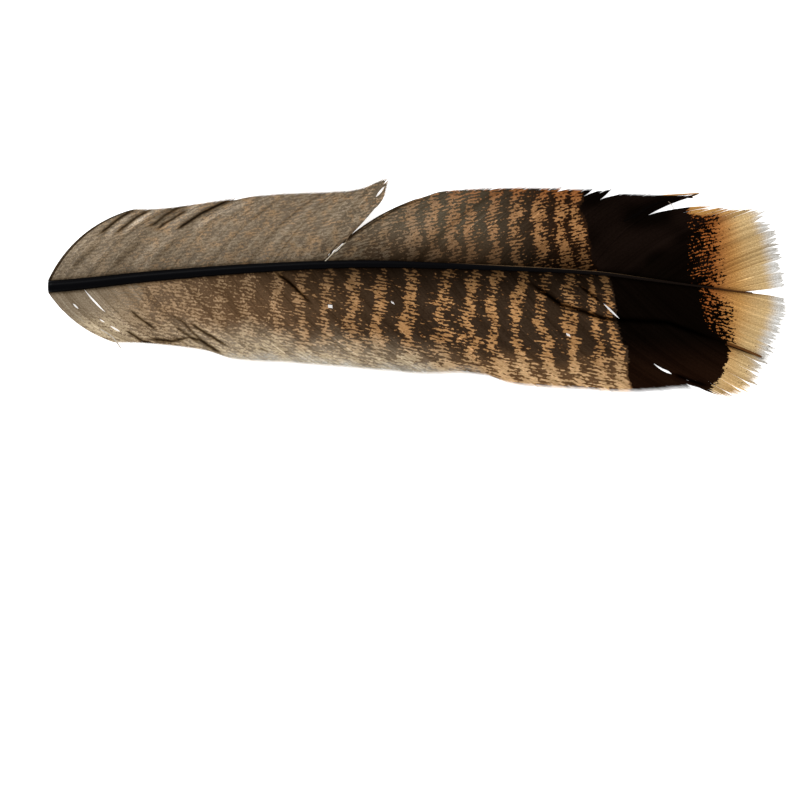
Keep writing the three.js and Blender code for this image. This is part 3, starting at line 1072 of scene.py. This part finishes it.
def shaft_piece(material):
    """The shaft: round on top, grooved underneath, and cut square at its base."""
    x = np.linspace(CUT_BACK, SHAFT_LENGTH, SHAFT_RINGS)
    x = np.concatenate([[CUT_BACK, CUT_BACK, CUT_BACK + CUT_EDGE], x[1:]])
    rings = len(x)
    size = np.ones(rings)
    size[: len(CUT_SIZES)] = CUT_SIZES
    angle = 2 * math.pi * (np.arange(SHAFT_SIDES) + 0.5) / SHAFT_SIDES - math.pi / 2
    across = np.cos(angle)
    up = np.sin(angle)
    groove = GROOVE_DEPTH * np.exp(-((across / GROOVE_WIDTH) ** 2)) * (up < 0)
    half_width = shaft_width(x)[:, None] / 2 * size[:, None]
    half_height = shaft_half_height(x)[:, None] * size[:, None]
    px = np.repeat(x[:, None], SHAFT_SIDES, 1)
    py = shaft_y(x)[:, None] + half_width * across
    pz = axis_height(x)[:, None] + half_height * (up + groove * smooth(4, 20, x)[:, None])
    pith = place(CUT_BACK + PITH_HOLLOW, shaft_y(np.array(0.0)), axis_height(0.0))
    tip_x = SHAFT_LINE[-1][0]
    tip = place(SHAFT_LENGTH + TIP_POINT, shaft_y(np.array(tip_x)), TIP_AXIS)
    points = np.concatenate([place(px, py, pz).reshape(-1, 3), [pith, tip]])
    quads = []
    for ring in range(rings - 1):
        for k in range(SHAFT_SIDES):
            a = ring * SHAFT_SIDES + k
            b = ring * SHAFT_SIDES + (k + 1) % SHAFT_SIDES
            quads.append((a, b, b + SHAFT_SIDES, a + SHAFT_SIDES))
    last = (rings - 1) * SHAFT_SIDES
    pith_point = rings * SHAFT_SIDES
    ends = []
    for k in range(SHAFT_SIDES):
        after = (k + 1) % SHAFT_SIDES
        ends.append((k, pith_point, after))
        ends.append((last + k, last + after, pith_point + 1))
    horn = blend(HORN_BLACK, HORN_BROWN, smooth(170, 250, px))
    horn = blend(horn, HORN_TIP, smooth(250, 262, px) * 0.8)
    # Painted highlight: its edge towards the outer vane is paler over most of its further half, where
    # it catches the light
    lit_rim_highlight = smooth(0.7, 0.98, across)[None] * smooth(150, 178, px) * smooth(240, 200, px)
    horn = blend(horn, HORN_RIM_HIGHLIGHT, lit_rim_highlight * 0.75)
    underneath = smooth(-0.1, -0.6, up)[None] * np.ones_like(px)
    horn = blend(horn, HORN_BELOW, underneath * 0.8)
    horn = np.concatenate([horn.reshape(-1, 3), [PITH, HORN_TIP]])
    horn[:SHAFT_SIDES] = CUT_RIM
    return add_mesh(
        "shaft_horn_piece", points, quads + ends, material, colours=[("horn", horn)], smooth_faces=True
    )


vane_look = barb_material()
shaft = shaft_piece(shaft_material())
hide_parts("shaft")

outer = vane_piece(
    "outer_barbs", OUTER_VANE, OUTER_PARTINGS, OUTER_STRAYS, outer_pattern, vane_look, seed=5
)
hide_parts("outer_vane")

inner = vane_piece(
    "inner_barbs", INNER_VANE, INNER_PARTINGS, INNER_STRAYS, inner_pattern, vane_look, seed=6
)
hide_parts("inner_vane")


# The floor's half size and its drop below the table's plane, in metres, and its own glow
FLOOR_REACH = 3.0
FLOOR_DROP = 0.0001
FLOOR_GLOW = 0.75

# The light from all round, and the sun's strength, its width in the sky and its turn in degrees
SKY_STRENGTH = 0.85
SUN_STRENGTH = 1.9
SUN_WIDTH = 25
SUN_TURN = (-35, -30, 0)

# The camera's sensor and lens in millimetres, and the height in metres at which the picture has the
# photo's scale
SENSOR = 36
LENS = 135
SCALE_HEIGHT = 0.004


def floor():
    mesh = bpy.data.meshes.new("floor")
    signs = ((-1, -1), (1, -1), (1, 1), (-1, 1))
    corners = [(sx * FLOOR_REACH, sy * FLOOR_REACH, 0) for sx, sy in signs]
    mesh.from_pydata(corners, [], [(0, 1, 2, 3)])
    material = bpy.data.materials.new("floor_white")
    material.use_nodes = True
    shader = material.node_tree.nodes["Principled BSDF"]
    shader.inputs["Base Color"].default_value = (0.95, 0.95, 0.95, 1)
    shader.inputs["Emission Color"].default_value = (1, 1, 1, 1)
    shader.inputs["Emission Strength"].default_value = FLOOR_GLOW
    shader.inputs["Roughness"].default_value = 0.9
    shader.inputs["Specular IOR Level"].default_value = 0.0
    mesh.materials.append(material)
    piece = bpy.data.objects.new("floor", mesh)
    bpy.context.scene.collection.objects.link(piece)
    piece.location.z = -FLOOR_DROP


def lights():
    world = bpy.data.worlds.new("studio")
    world.use_nodes = True
    sky = world.node_tree.nodes["Background"]
    sky.inputs["Color"].default_value = (1, 1, 1, 1)
    sky.inputs["Strength"].default_value = SKY_STRENGTH
    bpy.context.scene.world = world
    sun = bpy.data.lights.new("key", "SUN")
    sun.energy = SUN_STRENGTH
    sun.angle = math.radians(SUN_WIDTH)
    lamp = bpy.data.objects.new("key", sun)
    lamp.rotation_euler = [math.radians(turn) for turn in SUN_TURN]
    bpy.context.scene.collection.objects.link(lamp)


def camera():
    data = bpy.data.cameras.new("camera")
    data.sensor_width = SENSOR
    data.lens = LENS
    distance = PHOTO_WIDTH * PHOTO_SCALE * MM * LENS / SENSOR
    eye = bpy.data.objects.new("camera", data)
    x, y = plan(*PHOTO_MIDDLE)
    eye.location = (x * MM + CUT_PLACE[0], y * MM + CUT_PLACE[1], distance + SCALE_HEIGHT)
    bpy.context.scene.collection.objects.link(eye)
    bpy.context.scene.camera = eye


floor()
lights()
camera()
bpy.context.scene.view_settings.view_transform = "Standard"
